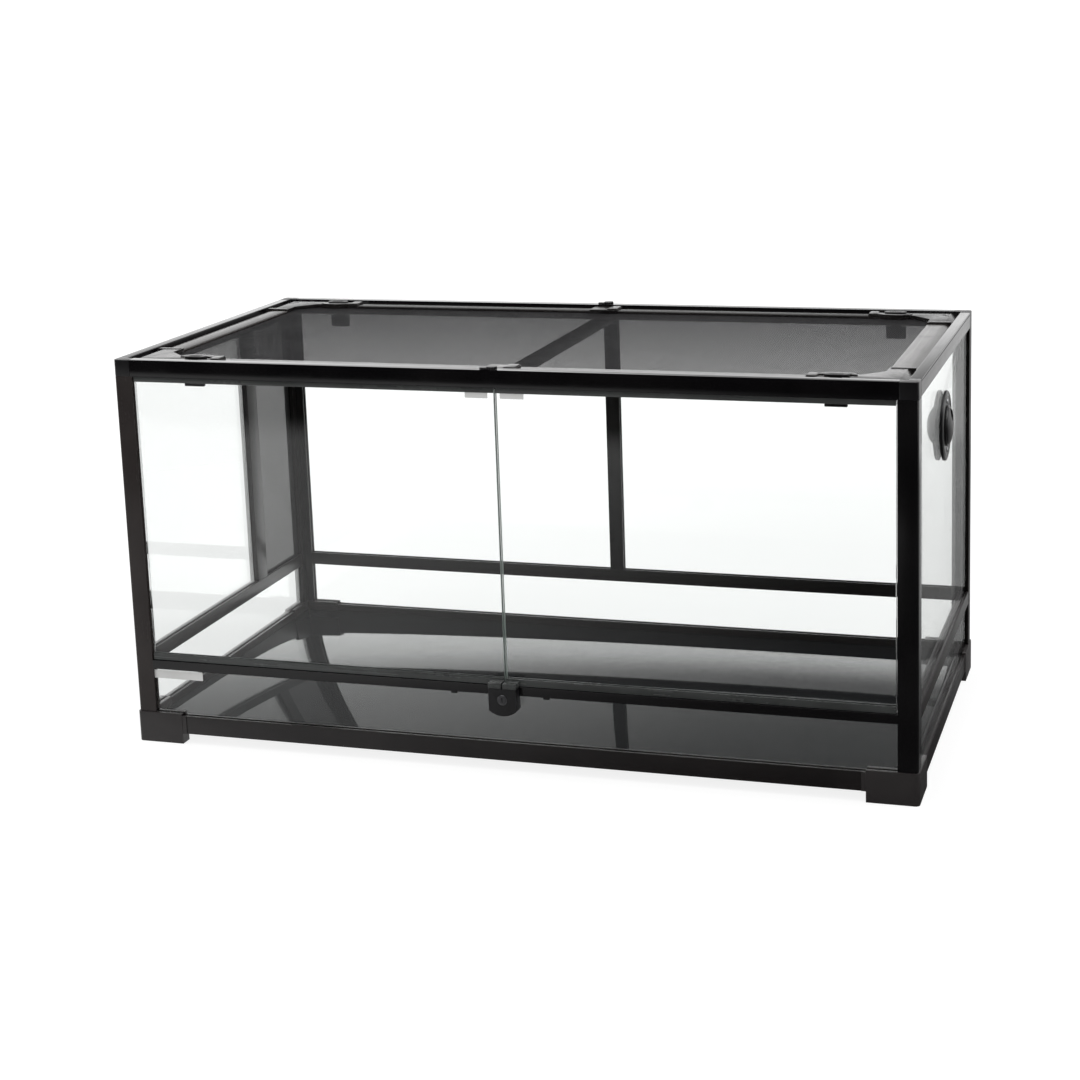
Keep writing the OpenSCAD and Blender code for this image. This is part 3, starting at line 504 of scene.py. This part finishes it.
def lid_section(inner):
    """(depth, height) of a lid rail: a convex outer side, a flat top, a soft inner edge."""
    side = [(LID_OUT + ROUND_DEEP - ROUND_DEEP * math.cos(math.radians(a)),
             LID_TOP - ROUND_HIGH + ROUND_HIGH * math.sin(math.radians(a)))
            for a in range(0, 91, 10)]
    return ([(LID_OUT, LID_LOW)] + side
            + [(inner - 1.6, LID_TOP), (inner - 0.5, LID_TOP - 0.4), (inner, LID_TOP - 1.4),
               (inner, LID_LOW)])


# The side rails take the lighter black with the painted sheen.
for s, a in SIDES:
    prism("lid_rail_%s_look" % s, lid_section(LID_IN[a]), LID_HALF[a], wall(s),
          lid_side_painted_sheen if a == "y" else lid_black[a], "lid", "lid_rail_" + s)

dress("lid_corners", lid_black[""], 0.8, 3)
dress("lid_tees", lid_black[""], 0.6)


def copied(bm, sides):
    """Repeats what bm holds, mirrored by each pair of factors for x and y."""
    geom = bm.verts[:] + bm.edges[:] + bm.faces[:]
    for sx, sy in sides:
        new = bmesh.ops.duplicate(bm, geom=geom)["geom"]
        bmesh.ops.scale(bm, vec=(sx, sy, 1), verts=[v for v in new
                                                    if isinstance(v, bmesh.types.BMVert)])


def collar_outline(x, y):
    """Half an oval behind the latch knob at x, y, open towards the knob."""
    (rx, ry), (ox, oy) = COLLAR_IN, COLLAR_OUT
    inside = [(x + rx * math.cos(math.radians(a)), y + 1.1 + ry * math.sin(math.radians(a)))
              for a in range(180, -1, -20)]
    out = [(x + ox * math.cos(math.radians(a)), y + oy * math.sin(math.radians(a)) ** 0.7)
           for a in range(0, 181, 12)]
    return inside + out


# One corner of the lid: the collar, the pad beside it and the pad on the side rail.
# Each plate starts inside the piece that it stands on.
bm = bmesh.new()
plate(bm, collar_outline(-KNOB_X, -KNOB_Y), 447, PIECE_TOP + 1.3, 0.9, 3)
plate(bm, [(-344.5, -205), (-335.6, -205), (-335.6, -187.4), (-344.5, -187.4),
           (-346.5, -189.5), (-346.5, -203)], 449, PIECE_TOP + 1.5, 0.7, 3)
plate(bm, rect(-441, -141.4, -415, -147.4), 447, PIECE_TOP + 0.5, 0.5, 3)
copied(bm, ((-1, 1), (1, -1), (-1, -1)))
piece(bm, "lid_corner_collars", lid_black[""], "lid")

bm = bmesh.new()
plate(bm, rect(5, -207, 17.2, -187), 449, PIECE_TOP + 1.4, 0.6, 3)
copied(bm, ((1, -1),))
piece(bm, "lid_tee_pads", lid_black[""], "lid")

# Two dots and a slanting dash on each rear corner.
bm = bmesh.new()
for x in (-425, -409):
    plate(bm, arc(x, -205, 2.3, 0, 345, 23), 450, PIECE_TOP + 0.25, 0.2, 1)
turn = math.sqrt(0.5)
plate(bm, [(-428 + (u + v) * turn, -192 + (v - u) * turn) for u, v in rect(-6.5, -1, 6.5, 1)],
      450, PIECE_TOP + 0.2, 0.15, 1)
bmesh.ops.scale(bm, vec=(1, -1, 1), verts=bm.verts)
copied(bm, ((-1, 1),))
piece(bm, "lid_corner_marks", rubber, "lid")

for c in CORNERS:
    dress("latch_" + c, fitting, 0.8, 3)
    lo, hi = box_mm("latch_" + c)
    mid = (lo.x + hi.x) / 2
    near = 1 if "front" in c else -1
    bm = bmesh.new()
    for k in GRIPS:
        plate(bm, rect(mid + k - GRIP_HALF, near * -GRIP_Y0,
                       mid + k + GRIP_HALF, near * -GRIP_Y1)[::near], 455, 455.7, 0.25, 2)
    piece(bm, "latch_grip_" + c, fitting, body_of["latch_" + c])

for c, side in (("front", 1), ("rear", -1)):
    y = side * -BUTTON_Y
    lobes = [(BUTTON_X + (5.9 if k % 2 else 5.2) * math.cos(k * math.pi / 16),
              y + (5.9 if k % 2 else 5.2) * math.sin(k * math.pi / 16)) for k in range(32)]
    tongue = [(BUTTON_X, y - 3.5), (BUTTON_X, y + 3.5)] + arc(BUTTON_X - 10.5, y, 3.5, 90, 270, 8)
    bm = bmesh.new()
    plate(bm, lobes, BUTTON_LOW, BUTTON_TOP, 0.5, 3)
    plate(bm, arc(BUTTON_X, y, 1.5, 0, 345, 15), 451, BUTTON_LOW + 0.3)
    plate(bm, tongue, BUTTON_LOW, BUTTON_TOP - 1.2, 0.5, 3)
    piece(bm, "turn_button_%s_look" % c, fitting, body_of["turn_button_" + c],
          "turn_button_" + c)

# ---------------------------------------------------------------- cable port
PORT_Z = 360
GLASS_IN, GLASS_OUT = (v.x for v in box_mm("right_glass"))
DIAL_LO, DIAL_HI = (v.x for v in box_mm("port_dial"))
FLANGE_R, FLANGE_T, ROLL_R = 39.5, 3, 0.9
SEAT_R, SEAT_T = 26.4, 0.2                  # the shallow seat of the dial in its flange
DIAL_R, DOME_R, RIM_T, RIM_EDGE, DIAL_GAP = 23, 21.4, 1.6, 0.4, 0.2
DIAL_DEEPER = 5                             # the inner half reaches further than the CAD's
SHAFT_R = 3.9
CABLE_R, CABLE_OFF = 7, 13
SCREW_OFF, SCREW_R = 28, 2.9
CUT_X = (400, 500)


def lathe(bm, profile, z, steps=64):
    """Turns (radius, x) in mm about an axis along X at height z."""
    rings = []
    for r, x in profile:
        if r == 0:
            rings.append([bm.verts.new((x * MM, 0, z * MM))] * steps)
        else:
            rings.append([bm.verts.new((x * MM, r * MM * math.cos(2 * math.pi * k / steps),
                                        (z + r * math.sin(2 * math.pi * k / steps)) * MM))
                          for k in range(steps)])
    for a, b in zip(rings, rings[1:]):
        for k in range(steps):
            n = (k + 1) % steps
            face = [v for v in (a[k], b[k], b[n], a[n])]
            face = [v for i, v in enumerate(face) if v not in face[:i]]
            if len(face) > 2:
                bm.faces.new(face)


def cut_hole(o, r, z):
    """Cuts a hole along X through a piece and keeps the result as its mesh."""
    bm = bmesh.new()
    lathe(bm, [(0, CUT_X[0]), (r, CUT_X[0]), (r, CUT_X[1]), (0, CUT_X[1])], z, 32)
    bmesh.ops.recalc_face_normals(bm, faces=bm.faces)
    mesh = bpy.data.meshes.new("tool")
    bm.to_mesh(mesh)
    bm.free()
    tool = bpy.data.objects.new("tool", mesh)
    bpy.context.scene.collection.objects.link(tool)
    cut = o.modifiers.new("cut", "BOOLEAN")
    cut.operation, cut.object, cut.solver = "DIFFERENCE", tool, "EXACT"
    done = bpy.data.meshes.new_from_object(o.evaluated_get(bpy.context.evaluated_depsgraph_get()))
    o.modifiers.clear()
    o.data = done
    bpy.data.objects.remove(tool)


def flange(name, node, face, way):
    """A flange on the glass: a thin disc with a rolled edge and a seat for the dial."""
    bm = bmesh.new()
    top = face + way * FLANGE_T
    seat = top - way * SEAT_T
    edge = [(FLANGE_R - ROLL_R + ROLL_R * math.sin(math.radians(a)),
             top - way * (ROLL_R - ROLL_R * math.cos(math.radians(a)))) for a in range(0, 91, 15)]
    lathe(bm, [(0, face), (0, seat), (SEAT_R, seat), (SEAT_R + 0.6, top)] + edge
          + [(FLANGE_R, face), (0, face)], PORT_Z, 72)
    o = piece(bm, name, fitting, "frame", node)
    cut_hole(o, CABLE_R, PORT_Z - CABLE_OFF)
    return top


def dome(base, tip):
    """Half of the dial: a thin rim, then a cap like part of a ball."""
    h = tip - base
    way = 1 if h > 0 else -1
    rim = base + way * RIM_T
    cap = [(DOME_R * math.cos(math.radians(a)),
            rim + (h - way * RIM_T) * math.sin(math.radians(a))) for a in range(0, 90, 6)]
    return [(0, base), (DIAL_R - RIM_EDGE, base), (DIAL_R, base + way * RIM_EDGE),
            (DIAL_R, rim - way * RIM_EDGE), (DIAL_R - RIM_EDGE, rim)] + cap + [(0, tip)]


out_top = flange("port_flange_outer_look", "port_flange_outer", GLASS_OUT, 1)
in_top = flange("port_flange_inner_look", "port_flange_inner", GLASS_IN, -1)
bm = bmesh.new()
lathe(bm, dome(out_top + DIAL_GAP, DIAL_HI), PORT_Z)
lathe(bm, dome(in_top - DIAL_GAP, DIAL_LO - DIAL_DEEPER), PORT_Z)
lathe(bm, [(0, in_top - 1), (SHAFT_R, in_top - 1), (SHAFT_R, out_top + 1), (0, out_top + 1)],
      PORT_Z, 24)
dial = piece(bm, "port_dial_look", fitting, body_of["port_dial"],
             "port_dial", 24)
cut_hole(dial, CABLE_R, PORT_Z + CABLE_OFF)

# The ridges on the flanges are drawn in the same grey with the painted highlight.
bm = bmesh.new()
for face, way in ((out_top, 1), (in_top, -1)):
    for r in (33.4, 37.0):
        lathe(bm, [(r + dr, face + way * rise) for dr, rise in
                   ((-0.8, -0.3), (-0.5, 0.25), (0, 0.4), (0.5, 0.25), (0.8, -0.3))], PORT_Z, 72)
piece(bm, "port_rings", strip_painted_highlight, "frame")

bm = bmesh.new()
for side in (-1, 1):
    lathe(bm, [(0, out_top - 0.5), (SCREW_R, out_top - 0.5), (SCREW_R, out_top + 0.35),
               (SCREW_R - 0.6, out_top + 0.9), (0, out_top + 1.1)], PORT_Z + side * SCREW_OFF, 24)
piece(bm, "port_screws_look", bright, "frame", "port_screws")

# ---------------------------------------------------------------- screens
PITCH, LID_WIRE_R, VENT_WIRE_R = 2.0, 0.165, 0.38
WIRE_FACETS, LAYER = 5, 0.8                 # LAYER: how far the layers part, in wire radii
X, Y, Z = Vector((1, 0, 0)), Vector((0, 1, 0)), Vector((0, 0, 1))


def screen(name, node, u, v, origin, size_u, size_v, radius, material):
    """A woven screen of straight wires in two layers along u and v, in mm."""
    bm = bmesh.new()
    w = u.cross(v)

    def wires(along, across, length, width, lift):
        count = int(width / PITCH)
        step = width / count
        for i in range(count):
            base = Vector(origin) + across * (step * (i + 0.5)) + w * lift
            rim = []
            for k in range(WIRE_FACETS):
                a = 2 * math.pi * k / WIRE_FACETS
                off = across * (radius * math.cos(a)) + w * (radius * math.sin(a))
                rim.append((bm.verts.new((base + off) * MM),
                            bm.verts.new((base + along * length + off) * MM)))
            for k in range(WIRE_FACETS):
                p, q = rim[k], rim[(k + 1) % WIRE_FACETS]
                bm.faces.new((p[0], q[0], q[1], p[1]))

    wires(v, u, size_v, size_u, radius * LAYER)
    wires(u, v, size_u, size_v, -radius * LAYER)
    mesh = bpy.data.meshes.new(name)
    bm.to_mesh(mesh)
    bm.free()
    for p in mesh.polygons:
        p.use_smooth = True
    return link(name, mesh, material, body_of[node], node)


lo, hi = box_mm("lid_screen")
screen("lid_screen_wires", "lid_screen", X, Y, (lo.x, lo.y, (lo.z + hi.z) / 2),
       hi.x - lo.x, hi.y - lo.y, LID_WIRE_R, wire)
lo, hi = box_mm("vent_screen")
screen("vent_screen_wires", "vent_screen", Y, Z, ((lo.x + hi.x) / 2, lo.y, lo.z),
       hi.y - lo.y, hi.z - lo.z, VENT_WIRE_R, wire_side)

# ---------------------------------------------------------------- stage and light
WHITE = 1.2                                 # strength of what the camera sees as white
DIFFUSE_LIGHT, DARK_FRONT = 0.75, 0.03
WALL_LOW, WALL_LEFT, WALL_RIGHT, SOFT_BOX = 1.5, 0.8, 0.42, 3.5
GROUND_HALF, GROUND_Z, GROUND_TONE = 40, -0.0004, 0.9
SHADOW_SHARE, SHADOW_NEAR, SHADOW_FAR = 0.3, 0.6, 1.5
MIRROR_LEFT, MIRROR_RIGHT, MIRROR_NEAR, MIRROR_BACK = 0.68, 0.05, 0.03, 0.7
PANE_SLOPE, PANE_DARK = 0.128, 0.3          # the strip of ground that the right pane mirrors
AIM = (0, 0, 0.3)


def ray_kinds(t):
    """1 for what is seen straight on or through glass, and 1 for what is mirrored."""
    path = t.add("ShaderNodeLightPath")
    mirrored = t.math("GREATER_THAN", path.outputs["Glossy Depth"], 0.5)
    straight = t.math("SUBTRACT", 1.0, mirrored)
    through = path.outputs["Is Transmission Ray"]
    seen = t.math("MULTIPLY", t.math("MAXIMUM", path.outputs["Is Camera Ray"], through), straight)
    bounced = t.math("MAXIMUM", path.outputs["Is Glossy Ray"], through)
    return seen, t.math("MULTIPLY", bounced, mirrored)


def make_world():
    """White to the camera and through glass. Gloss sees a studio: a bright wall low
    behind the tank, fading to the right above it, a soft box overhead, dark in front."""
    w = bpy.data.worlds.new("studio")
    bpy.context.scene.world = w
    w.use_nodes = True
    w.node_tree.nodes.clear()
    t = Tree(w.node_tree)
    out = t.add("ShaderNodeOutputWorld")
    c = t.add("ShaderNodeTexCoord")
    way = t.add("ShaderNodeSeparateXYZ")
    t.link(c.outputs["Generated"], way.inputs[0])
    x, y, z = way.outputs
    behind = t.ramp(y, -0.5, 0.1, DARK_FRONT, 1.0)
    above = t.ramp(x, -0.44, -0.08, WALL_LEFT, WALL_RIGHT)
    low = t.ramp(z, 0.17, 0.30, WALL_LOW, above)
    overhead = t.ramp(z, 0.72, 0.92, 0.0, SOFT_BOX)
    gloss = t.math("ADD", t.math("MULTIPLY", behind, low), overhead)
    seen, gloss_ray = ray_kinds(t)
    strength = t.ramp(gloss_ray, 0, 1, DIFFUSE_LIGHT, gloss)
    strength = t.ramp(seen, 0, 1, strength, WHITE)
    bg = t.add("ShaderNodeBackground")
    bg.inputs[0].default_value = (1, 1, 1, 1)
    t.link(strength, bg.inputs[1])
    t.link(bg.outputs[0], out.inputs[0])


def make_floor():
    """White ground that takes a soft shadow near the tank. Gloss sees it in other tones:
    darker to the right in front, and darker where the right pane mirrors it."""
    bm = bmesh.new()
    bmesh.ops.create_grid(bm, x_segments=1, y_segments=1, size=GROUND_HALF)
    mesh = bpy.data.meshes.new("ground")
    bm.to_mesh(mesh)
    bm.free()
    o = bpy.data.objects.new("ground", mesh)
    o.location.z = GROUND_Z
    bpy.context.scene.collection.objects.link(o)
    m, t, out = new_material("ground")
    lit = t.add("ShaderNodeBsdfDiffuse")
    lit.inputs[0].default_value = (GROUND_TONE, GROUND_TONE, GROUND_TONE, 1)
    white = t.add("ShaderNodeEmission")
    white.inputs[1].default_value = WHITE
    mirror = t.add("ShaderNodeEmission")
    geo = t.add("ShaderNodeNewGeometry")
    place = t.add("ShaderNodeSeparateXYZ")
    t.link(geo.outputs["Position"], place.inputs[0])
    x, y = place.outputs[0], place.outputs[1]
    front = t.math("MULTIPLY", t.ramp(x, -0.55, 0.3, MIRROR_LEFT, MIRROR_RIGHT),
                   t.ramp(y, -1.95, -1.7, MIRROR_NEAR, 1.0))
    beside = t.math("SUBTRACT", x, t.math("MULTIPLY", y, PANE_SLOPE))
    dark = t.math("MULTIPLY", t.ramp(beside, 0.36, 0.46), t.ramp(y, 1.35, 1.75, 1.0, 0.0))
    back = t.math("MULTIPLY", t.ramp(y, -0.1, 0.5, 0.0, MIRROR_BACK),
                  t.ramp(dark, 0.0, 1.0, 1.0, PANE_DARK))
    t.link(t.math("ADD", front, back), mirror.inputs[1])
    seen, gloss_ray = ray_kinds(t)
    away = t.add("ShaderNodeVectorMath", operation="LENGTH")
    t.link(geo.outputs["Position"], away.inputs[0])
    shadow = t.ramp(away.outputs["Value"], SHADOW_NEAR, SHADOW_FAR, SHADOW_SHARE, 0.0)
    direct = t.blend(shadow, white, lit)
    other = t.blend(gloss_ray, lit, mirror)
    t.link(t.blend(seen, other, direct).outputs[0], out.inputs[0])
    o.data.materials.append(m)


def lamp(name, place, target, size, power):
    d = bpy.data.lights.new(name, "AREA")
    d.shape = "RECTANGLE"
    d.size, d.size_y = size
    d.energy = power
    o = bpy.data.objects.new(name, d)
    bpy.context.scene.collection.objects.link(o)
    o.location = place
    o.rotation_mode = "QUATERNION"
    o.rotation_quaternion = (Vector(target) - Vector(place)).to_track_quat("-Z", "Y")


make_world()
make_floor()
lamp("key", (-1.6, -0.6, 2.6), AIM, (1.6, 1.2), 22)
lamp("fill", (2.2, 0.4, 1.8), AIM, (1.2, 1.6), 12)
bpy.context.scene.view_settings.view_transform = "Standard"
